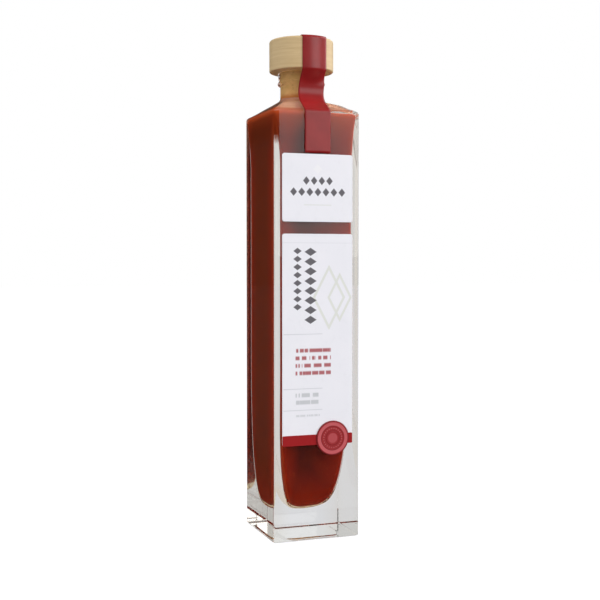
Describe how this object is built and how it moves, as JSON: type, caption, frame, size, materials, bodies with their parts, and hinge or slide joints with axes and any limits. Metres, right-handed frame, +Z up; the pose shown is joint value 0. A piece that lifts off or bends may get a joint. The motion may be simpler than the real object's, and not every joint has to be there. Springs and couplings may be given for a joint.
{
  "type": "hot sauce bottle",
  "caption": "Slim square clear-glass bottle of dark red hot sauce, with a wooden-headed stopper, a red seal strip over it and pale paper labels on the front.",
  "frame": {"origin": "middle of the base, on the plane the bottle stands on", "axes": "+Z up along the bottle, -Y out of the front face that carries the labels, +X to the right seen from the front"},
  "size_m": [0.0262, 0.0272, 0.1451],
  "materials": {
    "glass": "clear polished flint glass",
    "sauce": "opaque wet dark red-brown sauce",
    "cork": "fine-grained cork shank",
    "wood": "pale unvarnished turned wood",
    "strip_paper": "satin dark red paper tape",
    "label_paper": "smooth uncoated white paper",
    "red_paper": "matt red print on paper",
    "seal_paper": "matt red badge with paler rings"
  },
  "bodies": {
    "root": {"bottle_glass": "glass", "sauce_fill": "sauce", "stopper_shank": "cork", "stopper_head": "wood", "seal_strip": "strip_paper", "label_upper": "label_paper", "label_main": "label_paper", "label_band": "red_paper", "label_seal": "seal_paper"}
  },
  "joints": []
}
